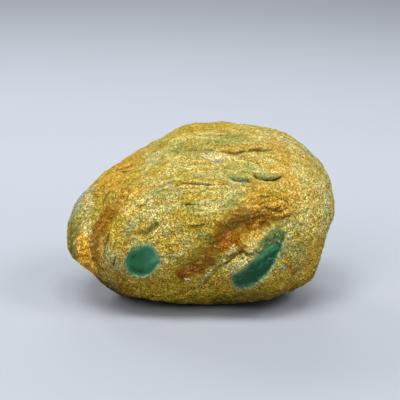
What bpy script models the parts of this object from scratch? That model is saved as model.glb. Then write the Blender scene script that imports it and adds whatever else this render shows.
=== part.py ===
"""A raw jade boulder: one river-worn stone in its weathered rind, with two windows ground to the jade.

Metres, +Z up. The origin is on the surface that the stone rests on, below the middle of its outline.
+X runs along the stone to its blunt end, and the face with the two windows looks along -Y.
"""

import math

import bmesh
import bpy
import numpy as np
from mathutils import Vector, noise
from mathutils.bvhtree import BVHTree

MM = 0.001

# The stone's overall sizes, which drive everything else.
LENGTH = 0.120
DEPTH = 0.090
HEIGHT = 0.081
CENTRE = Vector((0.0002, -0.0005, HEIGHT / 2))
HALF_SIZES = np.array((LENGTH, DEPTH, HEIGHT)) / 2

# The stone's three outlines, anticlockwise, as shares of its half sizes. The plan and the side pass
# through 1 on their axes, so that the front outline alone sets the shape of the two ends.
FRONT_OUTLINE = (  # along, up
    (0.99, 0.04), (0.97, 0.27), (0.92, 0.52), (0.72, 0.79), (0.42, 0.94), (0.10, 0.98),
    (-0.16, 0.91), (-0.36, 0.73), (-0.60, 0.52), (-0.79, 0.28), (-0.94, 0.02), (-1.00, -0.21),
    (-0.95, -0.42), (-0.83, -0.59), (-0.66, -0.84), (-0.39, -0.99), (0.00, -1.03), (0.35, -0.99),
    (0.62, -0.88), (0.81, -0.74), (0.90, -0.52), (0.95, -0.25),
)
PLAN_OUTLINE = (  # along, back
    (1.00, 0.00), (0.95, 0.38), (0.76, 0.72), (0.40, 0.95), (0.00, 1.00), (-0.36, 0.93),
    (-0.70, 0.72), (-0.92, 0.40), (-1.00, 0.00), (-0.92, -0.43), (-0.70, -0.75), (-0.38, -0.94),
    (0.00, -1.00), (0.38, -0.97), (0.72, -0.79), (0.93, -0.46),
)
SIDE_OUTLINE = (  # back, up
    (1.00, 0.00), (0.91, 0.49), (0.64, 0.81), (0.30, 0.97), (0.00, 1.00), (-0.34, 0.95),
    (-0.69, 0.76), (-0.93, 0.42), (-1.00, 0.00), (-0.91, -0.36), (-0.70, -0.66), (-0.37, -0.88),
    (0.00, -1.00), (0.42, -0.95), (0.74, -0.74), (0.94, -0.40),
)
# Broad faces worn nearly flat: which way each one looks, and how far out it lies as a share of the reach
# that the rounded form has that way.
WORN_FLATS = (
    ((-0.50, -0.35, 0.80), 0.965),
    ((0.15, 0.72, 0.68), 0.950),
    ((-0.72, 0.66, 0.20), 0.955),
    ((0.72, 0.68, -0.12), 0.955),
    ((0.86, -0.45, 0.20), 0.970),
    ((-0.15, -0.72, -0.68), 0.975),
    ((-0.30, 0.60, -0.74), 0.960),
)
FLAT_WEAR = 0.8  # how much of what stands out past a flat is worn away

# The relief of the front and the back is laid out as an eye sees it that looks at the stone's centre from
# in front or behind and a little above: (right, up) in millimetres from the centre.
EYE_DISTANCE = 0.600
EYE_ELEVATION = math.radians(15)

# Front: the wide gully from the blunt end down to the foot, and the furrow between it and the window's lobe.
GULLY = ((42, 1), (29, -3.5), (19, -8), (11, -14.5), (2, -22), (-5, -28), (-10, -37))
FURROW = ((25, -17), (15, -21), (5, -25), (0, -32))
# Front: the groove that sets the nose apart, and the ribs beside it.
NOSE_GROOVE = ((-46, 16), (-49, 6), (-49.5, -5), (-48.5, -14), (-48.5, -23), (-46, -30))
RIBS = (((-37, 2), (-41, -10), (-44, -27)), ((-33, -2), (-37, -13), (-39, -27)))
# Front: broken edges of the rind's layers. The stone is proud on the left of each path as it runs.
NOTCH = ((23.6, 18.2), (26.4, 15.9), (28.5, 15.3), (31, 15.3), (34, 15.8), (38, 17.2))
UPPER_LEDGE = ((-12, 28.0), (-2, 29.2), (9, 28.8), (16, 28.2), (22, 28.9), (29, 29.5), (38, 27.5))
TOP_LEDGE = ((-2, 36.5), (10, 35.5), (24, 36.5), (38, 32.5))
MIDDLE_CRACK = ((23, 15.6), (14, 14.9), (7, 13.7), (-8, 14.2), (-15, 13.0))
SCAB_EDGE = ((41, 2), (39, 5.4), (36.5, 7.8), (33, 6.4), (30, 8.2), (26, 8.2), (24, 5), (25, 1))
BELLY_EDGE = ((-23, -13), (-15, -8.6), (-6, -5.8), (2, -4.8), (12, -4.2))
# Back: a shallow saddle, and the broken edges there.
SADDLE = ((-46, 20), (-24, 8), (-4, 2), (14, -8), (30, -24))
BACK_LEDGES = (
    ((-34, 15), (-22, 18), (-8, 17), (4, 20), (14, 19)),
    ((20, 10), (6, 7), (-6, 8), (-14, 5)),
    ((-30, -14), (-16, -17), (-2, -16), (8, -19)),
    ((44, -8), (34, -3), (24, -4), (14, 0)),
)

# The layers that show as low broken steps all round the stone: their dip, and how high each one crops out.
LAYER_UP = Vector((0.10, -0.12, 1.0)).normalized()
LAYER_HEIGHTS = (9, 19, 27, 36, 47, 56, 63, 69, 75)  # mm above the surface that the stone rests on

# The two windows' outlines, laid out on the front. Each starts at one tip of the window's length, and its
# other tip is the middle point.
ROUND_WINDOW = (
    (-18.3, -20.6), (-20.2, -16.8), (-22.4, -14.6), (-25.2, -14.4), (-28.8, -15.8), (-32.0, -18.0),
    (-33.7, -22.4), (-32.6, -25.4), (-30.0, -27.7), (-26.4, -28.6), (-23.0, -27.6), (-20.0, -24.6),
)
LEAF_WINDOW = (
    (37.0, -14.2), (34.4, -13.7), (31.2, -15.6), (28.0, -17.8), (24.8, -20.8), (21.8, -24.0),
    (18.4, -26.6), (15.4, -28.0), (15.1, -31.2), (17.2, -33.7), (20.8, -33.7), (24.6, -32.2),
    (28.6, -29.7), (32.0, -26.0), (34.3, -21.4), (36.2, -17.8),
)
WINDOW_DEPTH = 0.35 * MM  # how far the ground floor lies below the lowest rind on its edge
CUTTER_REACH = 12 * MM  # how far a window's cutter stands out of the stone

FORM_SUBDIVISIONS = 7
STONE_TRIANGLES = 8400
NOISE_ORIGIN = Vector((3.7, 11.2, 5.9))

RIND_COLOUR = (0.38, 0.27, 0.075, 1.0)
JADE_COLOUR = (0.02, 0.16, 0.085, 1.0)


def smooth_step(low, high, value):
    share = np.clip((value - low) / (high - low), 0, 1)
    return share * share * (3 - 2 * share)


def spline(points, closed, steps=16):
    """Points along a Catmull-Rom curve through the given ones."""
    knots = np.array(points, float)
    if closed:
        before, after, beyond = (np.roll(knots, turn, 0) for turn in (1, -1, -2))
        start = knots
    else:
        ends = np.vstack([2 * knots[0] - knots[1], knots, 2 * knots[-1] - knots[-2]])
        before, start, after, beyond = ends[:-3], ends[1:-2], ends[2:-1], ends[3:]
    t = (np.arange(steps) / steps)[:, None, None]
    curve = 0.5 * (
        2 * start
        + (after - before) * t
        + (2 * before - 5 * start + 4 * after - beyond) * t**2
        + (3 * start - before - 3 * after + beyond) * t**3
    )
    curve = curve.transpose(1, 0, 2).reshape(-1, knots.shape[1])
    return curve if closed else np.vstack([curve, knots[-1]])


# ---- The main form ----


def outline_share(points, across, up):
    """How far the outline lies from the unit circle, in the direction (across, up)."""
    curve = spline(points, closed=True)
    angle = np.arctan2(curve[:, 1], curve[:, 0])
    order = np.argsort(angle)
    reach = np.hypot(curve[:, 0], curve[:, 1])[order]
    return np.interp(np.arctan2(up, across), angle[order], reach, period=2 * math.pi) - 1


def stone_form(directions):
    """The stone's main form: an ellipsoid drawn out to its three outlines."""
    x, y, z = directions.T
    share = (
        1
        + outline_share(FRONT_OUTLINE, x, z) * (1 - y * y)
        + outline_share(PLAN_OUTLINE, x, y) * (1 - z * z)
        + outline_share(SIDE_OUTLINE, y, z) * (1 - x * x)
    )
    return wear_flats(directions * share[:, None] * HALF_SIZES) + np.array(CENTRE)


def wear_flats(from_centre):
    """The form's broad flats, each pressed in with no sharp edge."""
    worn = from_centre.copy()
    for direction, share in WORN_FLATS:
        facing = np.array(Vector(direction).normalized())
        reach = from_centre @ facing
        proud = np.maximum(reach / (share * reach.max()) - 1, 0) * share * reach.max()
        softened = proud**2 / (proud + 0.4 * MM)
        worn -= FLAT_WEAR * softened[:, None] * facing
    return worn


# ---- Relief, in millimetres out of the form ----


class Face:
    """One side of the stone, seen by an eye at the given azimuth."""

    def __init__(self, azimuth):
        turn = math.radians(azimuth)
        level = Vector((-math.sin(turn), math.cos(turn), 0))
        self.look = level * math.cos(EYE_ELEVATION) - Vector((0, 0, math.sin(EYE_ELEVATION)))
        self.right = Vector((math.cos(turn), math.sin(turn), 0))
        self.up = self.right.cross(self.look)
        self.eye = CENTRE - self.look * EYE_DISTANCE

    def layout(self, points):
        """(right, up) of each point, in millimetres."""
        from_centre = points - np.array(CENTRE)
        further = 1 + from_centre @ np.array(self.look) / EYE_DISTANCE
        axes = np.array((self.right, self.up)).T
        return from_centre @ axes / further[:, None] / MM

    def shown(self, normals):
        """1 where the stone faces the eye, fading to 0 before its outline."""
        return smooth_step(0.05, 0.40, -normals @ np.array(self.look))

    def ray(self, place):
        """The direction from the eye to a place on the layout."""
        return (CENTRE + (self.right * place[0] + self.up * place[1]) * MM - self.eye).normalized()


def from_path(places, path):
    """The distance from a path, positive on its left, and a taper: 1 on its middle, 0 at its ends."""
    line = spline(path, closed=False, steps=6)
    start, step = line[:-1], np.diff(line, axis=0)
    length = np.hypot(*step.T)
    reached = np.concatenate([[0], np.cumsum(length)])
    nearest = np.full(len(places), np.inf)
    signed, along = np.zeros(len(places)), np.zeros(len(places))
    for (x, y), (dx, dy), span, before in zip(start, step, length, reached):
        px, py = places[:, 0] - x, places[:, 1] - y
        share = np.clip((px * dx + py * dy) / span**2, 0, 1)
        distance = np.hypot(px - share * dx, py - share * dy)
        closer = distance < nearest
        nearest[closer] = distance[closer]
        signed[closer] = (distance * np.where(dx * py - dy * px > 0, 1, -1))[closer]
        along[closer] = (before + share * span)[closer] / reached[-1]
    return signed, smooth_step(0, 0.25, along) * smooth_step(0, 0.25, 1 - along)


def valley(places, path, depth, left, right):
    """A smooth valley whose sides are this wide on the left and the right of its path."""
    away, taper = from_path(places, path)
    return -depth * taper * np.exp(-((away / np.where(away > 0, left, right)) ** 2))


def ledge(places, path, height, reach=6.0, edge=1.4):
    """A broken layer: proud on the path's left, and falling back to the stone over its reach."""
    away, taper = from_path(places, path)
    proud = smooth_step(-edge / 2, edge / 2, away) * np.exp(-np.maximum(away, 0) / reach)
    sunk = 0.5 * smooth_step(edge / 2, -edge / 2, away) * np.exp(-np.maximum(-away, 0) / (reach / 2))
    return height * taper * (proud - sunk)


def swell(places, centre, radii, height):
    x, y = ((places - centre) / radii).T
    return height * np.exp(-(x * x + y * y))


def lumps(points, size, height, shift=0.0):
    """Soft lumps of the given size, in millimetres."""
    origin = NOISE_ORIGIN + Vector((shift, 0, 0))
    return height * np.array([noise.noise(Vector(p) / (size * MM) + origin) for p in points])


def front_relief(places):
    return (
        swell(places, (-4, 9), (36, 15), 1.2)
        + swell(places, (28, -20), (15, 11), 1.6)
        + swell(places, (-56, -9), (5, 13), 0.5)
        + valley(places, GULLY, depth=4.0, left=9.5, right=5.6)
        + valley(places, FURROW, depth=1.3, left=3.0, right=2.4)
        + valley(places, NOSE_GROOVE, depth=1.1, left=3.6, right=3.4)
        + sum(valley(places, rib, depth=0.6, left=1.8, right=1.3) for rib in RIBS)
        + valley(places, NOTCH, depth=0.8, left=0.9, right=2.4)
        + ledge(places, NOTCH, 0.6, reach=9)
        + ledge(places, UPPER_LEDGE, 0.8, reach=9)
        + ledge(places, TOP_LEDGE, 0.5, reach=9)
        + ledge(places, MIDDLE_CRACK, 0.8, reach=7)
        + ledge(places, SCAB_EDGE, 0.6, reach=7)
        + ledge(places, BELLY_EDGE, 0.35, reach=8, edge=2.4)
    )


def back_relief(places):
    return (
        swell(places, (6, 22), (26, 12), 1.0)
        + swell(places, (-22, -16), (20, 12), 1.4)
        + valley(places, SADDLE, depth=2.8, left=9, right=7)
        + sum(ledge(places, path, 0.8, reach=9, edge=1.8) for path in BACK_LEDGES)
    )


def layer_relief(points):
    """Low broken steps where the stone's layers crop out, each strong in some places and gone in others."""
    height = points @ np.array(LAYER_UP) / MM + lumps(points, 26, 3.0)
    relief = np.zeros(len(points))
    for number, level in enumerate(LAYER_HEIGHTS):
        strength = smooth_step(0.05, 0.45, lumps(points, 24, 1.0, shift=7.3 * (number + 1)))
        above = height - level
        relief += strength * smooth_step(-1.1, 1.1, above) * np.exp(-np.maximum(above, 0) / 6)
    return 0.8 * relief


def carve(points, normals, front, back):
    """The form's points, moved along its normals by all of the relief."""
    relief = (
        front.shown(normals) * front_relief(front.layout(points))
        + back.shown(normals) * back_relief(back.layout(points))
        + layer_relief(points)
        + lumps(points, 22, 1.5, shift=40)
        + lumps(points, 9, 0.6, shift=80)
    )
    return points + normals * relief[:, None] * MM


# ---- Objects ----


def material(name, colour, roughness):
    made = bpy.data.materials.new(name)
    made.use_nodes = True
    shader = made.node_tree.nodes["Principled BSDF"]
    shader.inputs["Base Color"].default_value = colour
    shader.inputs["Roughness"].default_value = roughness
    made.diffuse_color = colour
    return made


def add_object(name, bm, *materials):
    mesh = bpy.data.meshes.new(name)
    bm.to_mesh(mesh)
    for each in materials:
        mesh.materials.append(each)
    made = bpy.data.objects.new(name, mesh)
    bpy.context.scene.collection.objects.link(made)
    return made


def move_points(bm, places):
    for vertex, place in zip(bm.verts, places):
        vertex.co = place


def make_stone(front, back, rind):
    """The carved stone, thinned to the triangles that its shape needs, and the surface before that."""
    bm = bmesh.new()
    bmesh.ops.create_icosphere(bm, subdivisions=FORM_SUBDIVISIONS, radius=1.0)
    move_points(bm, stone_form(np.array([v.co.normalized() for v in bm.verts], float)))
    bm.normal_update()
    points, normals = (np.array([getattr(v, key) for v in bm.verts], float) for key in ("co", "normal"))
    move_points(bm, carve(points, normals, front, back))
    bm.normal_update()
    surface = BVHTree.FromBMesh(bm)
    stone = add_object("boulder", bm, rind)
    thin = stone.modifiers.new("thin", "DECIMATE")
    thin.ratio = STONE_TRIANGLES / len(bm.faces)
    bm.free()
    return stone, surface


def window_cutter(name, outline, face, surface, jade):
    """A window's cutter. Its floor is straight across, and bends along its length as the stone does."""
    curve = spline(outline, closed=True, steps=3)
    hits = [surface.ray_cast(face.eye, face.ray(place))[:2] for place in curve]
    rim = np.array([spot for spot, _ in hits])
    normal = sum((facing for _, facing in hits), Vector()).normalized()
    facing = np.array(normal)
    along = rim[0] - rim[len(rim) // 2]
    along -= facing * (along @ facing)
    along /= np.linalg.norm(along)
    from_middle = rim - rim.mean(0)
    x, y, height = from_middle @ along, from_middle @ np.cross(facing, along), from_middle @ facing
    terms = np.array((np.ones(len(x)), x, y, x * x)).T
    level = terms @ np.linalg.lstsq(terms, height, rcond=None)[0]
    level += (height - level).min() - WINDOW_DEPTH
    floor = rim + (level - height)[:, None] * facing
    bm = bmesh.new()
    ring = [bm.verts.new(place) for place in floor]
    half = len(ring) // 2
    pairs = [(ring[n], ring[-n]) for n in range(1, half)]
    slices = [(ring[0], ring[0])] + pairs + [(ring[half], ring[half])]
    for (left, right), (next_left, next_right) in zip(slices, slices[1:]):
        bm.faces.new(list(dict.fromkeys((left, next_left, next_right, right))))
    raised = bmesh.ops.extrude_face_region(bm, geom=bm.faces[:])["geom"]
    for vertex in (v for v in raised if isinstance(v, bmesh.types.BMVert)):
        vertex.co += normal * CUTTER_REACH
    bmesh.ops.recalc_face_normals(bm, faces=bm.faces)
    cutter = add_object(name, bm, jade)
    bm.free()
    return cutter


def ground_cutter(rind):
    """A block that takes off all that lies below the surface that the stone rests on."""
    bm = bmesh.new()
    bmesh.ops.create_cube(bm, size=1.0)
    bmesh.ops.scale(bm, verts=bm.verts, vec=(2 * LENGTH, 2 * DEPTH, HEIGHT))
    bmesh.ops.translate(bm, verts=bm.verts, vec=(0, 0, -HEIGHT / 2))
    cutter = add_object("foot_cutter", bm, rind)
    bm.free()
    return cutter


def cut(stone, cutter):
    cutter.hide_render = True
    cutter.display_type = "WIRE"
    boolean = stone.modifiers.new(cutter.name, "BOOLEAN")
    boolean.object = cutter
    boolean.operation = "DIFFERENCE"
    boolean.solver = "EXACT"


def main():
    for old in list(bpy.data.objects):
        bpy.data.objects.remove(old)
    front, back = Face(azimuth=0), Face(azimuth=180)
    rind = material("rind", RIND_COLOUR, roughness=0.9)
    jade = material("jade", JADE_COLOUR, roughness=0.35)
    stone, surface = make_stone(front, back, rind)
    stone.data.materials.append(jade)
    cut(stone, ground_cutter(rind))
    cut(stone, window_cutter("round_window_cutter", ROUND_WINDOW, front, surface, jade))
    cut(stone, window_cutter("leaf_window_cutter", LEAF_WINDOW, front, surface, jade))


main()
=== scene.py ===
"""The look of a raw jade boulder: a sandy ochre and olive rind, with two windows ground to the jade.

Metres, +Z up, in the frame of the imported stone. The stone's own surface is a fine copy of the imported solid,
whose ledges, cracks and windows are worked again at a finer scale than the solid holds.
"""

import math

import bpy
import numpy as np
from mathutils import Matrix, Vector, noise
from mathutils.bvhtree import BVHTree


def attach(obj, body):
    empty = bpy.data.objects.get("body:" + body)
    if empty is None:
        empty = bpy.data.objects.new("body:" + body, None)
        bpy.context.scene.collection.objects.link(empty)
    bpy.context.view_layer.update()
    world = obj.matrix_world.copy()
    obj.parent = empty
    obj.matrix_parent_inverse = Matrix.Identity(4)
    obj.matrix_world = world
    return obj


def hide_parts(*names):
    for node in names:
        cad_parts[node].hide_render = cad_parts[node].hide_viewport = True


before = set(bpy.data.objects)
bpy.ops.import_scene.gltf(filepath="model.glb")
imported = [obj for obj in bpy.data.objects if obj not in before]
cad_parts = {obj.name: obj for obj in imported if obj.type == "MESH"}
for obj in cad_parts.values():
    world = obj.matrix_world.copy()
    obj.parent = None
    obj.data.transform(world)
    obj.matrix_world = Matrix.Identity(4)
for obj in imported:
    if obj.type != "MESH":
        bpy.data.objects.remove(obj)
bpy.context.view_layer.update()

MM = 0.001

# The middle of the stone, and the eye that its sides are laid out for.
CENTRE = Vector((0.0002, -0.0005, 0.0405))
EYE_DISTANCE = 0.600
EYE_ELEVATION = math.radians(15)

# The stone's fine surface.
POINT_PITCH = 0.46 * MM  # between neighbouring points of the surface, before it is thinned
SMOOTHING_ROUNDS = 34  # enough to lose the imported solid's facets
STONE_TRIANGLES = 196000  # after it is thinned
FOOT_HEIGHT = 0.05 * MM  # what lies lower than this is the flat foot
# How freely the surface is thinned away from the windows: all over, on the front, and in the front's cracks.
THIN_ALL_OVER, THIN_FRONT, THIN_CRACKS = 1.0, 0.6, 0.2
CRACKED = 0.3  # the share of a crack from which the surface counts as cracked

# The relief, in millimetres. Lumps have a height and a size.
BROAD_LUMPS, SMALL_LUMPS, FINE_LUMPS = (0.36, 6.0), (0.22, 2.4), (0.14, 1.2)
BROAD_LAYERS, LAYERS, MORE_AT_TOP, MORE_AT_NOSE = 0.20, 0.20, 0.10, 0.16
TERRACES, FIBRES, CREASES = 0.36, 0.09, 0.30
FULL_SHADING_RELIEF = 0.30  # of the relief at which the finish fully paints its crests paler and its hollows darker, as light and shade
WOBBLE, RIPPLE = 0.45, 0.25  # how far edges and cracks stray from their paths
RELIEF_SUNK = 0.10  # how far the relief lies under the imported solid, so that only its lumps reach up to it
RELIEF_FADE = 1.5  # the height over which the relief fades in above the foot
UNDERCUT_SHARE = 0.6  # how deep a broken edge is undercut, as a share of its height
DARK_EDGE_HEIGHT = 0.6  # of a broken edge whose undercut is painted fully dark, as shade
CRACK_DARKNESS = 0.6  # sets how dark the painted shade is in a crack that is as deep as its half width
RIM_WIDTH = 2.5  # round the windows, where the surface keeps all its points
GROUND_BORDER = 0.35  # half the width over which the ground floor meets the rind
EDGE_LIMIT = 8.0  # the furthest distance from a window's edge that the finish is told
FAR_AWAY = 99.0  # stands for the distance of what faces away from the windows

# The stone's layers are folded round a line along y, in millimetres. Low on the front's right they slope
# instead, by the angle below, and at the nose they stand upright.
FOLD_X, FOLD_Z, FOLD_RADIUS = 4.0, -24.0, 60.0
SLOPE = math.radians(40)
SLOPE_X, SLOPE_Z, SLOPE_HALF_WIDTH, SLOPE_HALF_HEIGHT = 20.0, 22.0, 24.0, 14.0
NOSE_FROM, NOSE_FULL = -32.0, -42.0

# The two windows' outlines, as (right, up) in millimetres on the front. The first point and the middle one
# are the tips of the window's length.
ROUND_WINDOW = (
    (-18.3, -20.6), (-20.2, -16.8), (-22.4, -14.6), (-25.2, -14.4), (-28.8, -15.8), (-32.0, -18.0),
    (-33.7, -22.4), (-32.6, -25.4), (-30.0, -27.7), (-26.4, -28.6), (-23.0, -27.6), (-20.0, -24.6),
)
LEAF_WINDOW = (
    (37.0, -14.2), (34.4, -13.7), (31.2, -15.6), (28.0, -17.8), (24.8, -20.8), (21.8, -24.0),
    (18.4, -26.6), (15.4, -28.0), (15.1, -31.2), (17.2, -33.7), (20.8, -33.7), (24.6, -32.2),
    (28.6, -29.7), (32.0, -26.0), (34.3, -21.4), (36.2, -17.8),
)

# Broken edges of the rind's layers on the front: path, height and reach in millimetres. The stone is proud
# on the left of each path as it runs, and the height fades away over the reach.
FRONT_EDGES = (
    (((23.8, 18.4), (25.2, 16.9), (27.6, 15.8), (31.0, 15.7), (34.5, 16.2), (38.5, 17.4)), 0.7, 7),
    (((9, 28.9), (13, 27.9), (16.2, 27.2), (17.6, 28.3), (22, 28.9), (28.5, 29.3), (35, 28.6)), 0.8, 6),
    (((-12.0, 28.2), (-6.0, 29.4), (2.0, 29.3), (9.0, 28.9)), 0.35, 6),
    (((-16.0, 13.2), (-8.0, 14.0), (-3.0, 14.2), (4.0, 13.6), (11.0, 14.1), (15.0, 14.9)), 0.6, 7),
    (((13.0, 16.8), (17.0, 16.0), (21.0, 15.8), (23.8, 14.2)), 0.8, 4),
    (((25.2, 6.4), (26.8, 7.9), (29.6, 8.9)), 0.6, 3),
    (((41.0, 2.0), (39.0, 5.2), (36.6, 6.8), (33.4, 5.2), (30.4, 5.2), (27.4, 4.4), (24.4, 3.0)), 0.6, 6),
    (((32.4, 1.6), (34.6, 3.4), (36.8, 4.6)), 0.6, 3),
    (((33.0, -3.2), (35.6, -2.2), (39.0, -1.0), (43.0, -0.4)), 0.7, 5),
    (((-8.0, 4.0), (-4.6, 4.8), (-1.0, 4.6)), 0.6, 4),
    (((-28.8, 2.6), (-26.0, 4.4), (-23.4, 5.8)), 0.5, 3),
    (((-5.5, -5.2), (-1.0, -4.8), (3.2, -4.2)), 0.45, 4),
    (((-38.0, 19.0), (-33.0, 19.6), (-30.0, 20.8)), 0.5, 4),
    (((3.0, 36.4), (10.0, 36.0), (18.0, 37.0)), 0.4, 5),
    (((6.0, 31.2), (13.0, 31.6), (21.0, 33.6)), 0.3, 4),
    (((19.4, -16.2), (21.6, -18.2), (23.4, -18.4)), 0.8, 4),
    (((8.6, -24.2), (13.0, -21.0), (18.0, -17.2), (23.0, -15.0)), 0.7, 4),
    (((-40.5, -8.0), (-42.5, -14.0), (-43.4, -22.0)), 0.4, 2.2),
    (((-36.4, -9.0), (-38.4, -15.0), (-40.0, -23.0)), 0.4, 2.2),
)
# Cracks and small hollows of the front: path, half width and depth in millimetres.
FRONT_CRACKS = (
    (((-38.5, 19.4), (-35, 20.2), (-31.5, 21.6)), 0.6, 0.9),
    (((24.4, 3.4), (28, 7.0), (33, 8.2), (38, 6.2)), 0.5, 0.7),
    (((30, 2.6), (35, 1.2), (40, 2.6)), 0.5, 0.7),
    (((-33.5, 12.5), (-29, 15.5), (-26, 18.5)), 0.45, 0.4),
    (((-3.0, 7.0), (0.5, 8.6), (2.5, 6.6)), 0.45, 0.4),
    (((24.4, 17.6), (26.4, 15.9), (28.5, 15.2), (31, 15.1), (34, 15.6), (36.5, 16.6)), 0.5, 0.7),
    (((15.5, 15.8), (19, 15.4), (22.4, 14.6)), 0.9, 0.35),
    (((-28, -9.8), (-26.4, -8.2)), 0.9, 0.6),
    (((-24.4, -8.0), (-22.0, -6.2), (-20.0, -4.6)), 1.5, 0.9),
    (((-22.9, -11.3), (-19, -10.5), (-15.5, -9.7)), 0.45, 0.5),
    (((-38.4, -19.3), (-38.8, -21.6), (-39.3, -23.7)), 0.4, 0.5),
    (((13.6, -27.3), (14.5, -29.2)), 0.6, 0.5),
    (((-14.8, -20.5), (-10.5, -21.5)), 1.1, 0.4),
    (((14.7, -19.5), (9.7, -23.5)), 0.8, 0.6),
    (((-33, 10), (-36.5, 5.5), (-38.5, 2)), 1.2, 0.5),
    (((-37.6, 1), (-41.5, -3)), 1.4, 0.5),
)
# Places where the front's hollows are filled a little: path, half width and height in millimetres.
FRONT_FILLS = (
    (((25.4, 18.0), (28.0, 16.9), (32, 16.6), (37, 17.6)), 1.5, 0.7),
    (((-49, 4), (-49.5, -5), (-48.5, -14), (-48.5, -23)), 1.9, 0.5),
    (((14, -11), (4, -20), (-4, -27), (-9, -35)), 4.5, 0.5),
)
# Low swells along the outline of the front: path, half width and height in millimetres.
OUTLINE_SWELLS = (
    (((-57.5, -18), (-51, -25.5), (-45, -30.5), (-37, -35.5)), 7, 1.7),
    (((33, -37), (42, -34.5), (49, -29.5)), 7, 1.6),
    (((57.5, -13), (54, -21)), 6, 0.4),
    (((59.5, 11), (61, 6), (60.5, 1)), 5.5, 1.2),
    (((-59.5, -3), (-52, 10.5), (-45, 16.5)), 6, 1.2),
    (((-12, 39), (-2, 41)), 5, 0.8),
)
# Broken edges, cracks and stains of the back, laid out as the front's are.
BACK_EDGES = (
    (((-34, 15), (-22, 18), (-8, 17), (4, 20), (14, 19)), 0.7, 7),
    (((20, 10), (6, 7), (-6, 8), (-14, 5)), 0.6, 6),
    (((-30, -14), (-16, -17), (-2, -16), (8, -19)), 0.7, 6),
    (((44, -8), (34, -3), (24, -4), (14, 0)), 0.7, 6),
    (((18, 27), (24, 26), (30, 22)), 0.5, 4),
    (((-44, 0), (-36, 2), (-31, 1)), 0.5, 4),
    (((24, -20), (31, -18), (38, -20)), 0.5, 4),
)
BACK_CRACKS = (
    (((-6, 29), (1, 30), (7, 29)), 0.7, 0.4),
    (((-26, 4), (-21, 6), (-16, 5)), 0.6, 0.5),
    (((9, -9), (14, -7), (19, -8)), 0.6, 0.4),
    (((-42, -16), (-38, -20)), 1.2, 0.5),
)
BACK_STAINS = {
    "golden": (
        (((-46, 10), (-30, 0), (-18, -10)), 9, 0.8),
        (((6, 32), (26, 24), (42, 10)), 7, 0.7),
        (((-30, -32), (0, -36), (30, -32)), 7, 0.9),
    ),
    "straw": (
        (((-20, 24), (-4, 26), (10, 22)), 7, 0.6),
        (((8, 2), (22, -2), (34, -8)), 7, 0.6),
        (((-40, -8), (-30, -14)), 5, 0.5),
    ),
    "rust": (
        (((-26, 13.5), (-14, 15)), 1.8, 0.8),
        (((24, -6), (33, -5.5), (41, -10)), 2.0, 0.8),
        (((-20, -19), (-8, -19)), 2.4, 0.7),
        (((12, 16), (18, 12)), 2.0, 0.5),
    ),
    "orange": (
        (((-34, 20), (-20, 22), (-6, 20)), 3.0, 0.6),
        (((-10, -12), (4, -13), (14, -18)), 4.0, 0.6),
        (((34, 4), (42, -2), (46, -10)), 3.6, 0.7),
        (((-48, 4), (-50, -8)), 3.0, 0.6),
        (((0, 4), (8, 5)), 2.0, 0.5),
    ),
    "green": (
        (((-12, 30), (4, 33), (18, 31)), 3.0, 0.8),
        (((-34, 8), (-22, 10), (-10, 12)), 3.4, 0.7),
        (((14, -14), (26, -14), (36, -18)), 4.0, 0.7),
        (((-40, -20), (-26, -26)), 4.0, 0.6),
        (((24, 12), (34, 8)), 3.0, 0.5),
    ),
    "pale": (
        (((-4, 24), (4, 24.5)), 2.2, 0.6),
        (((18, 3), (26, 1)), 2.0, 0.6),
        (((-28, -11), (-18, -13)), 1.6, 0.7),
    ),
}
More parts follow.
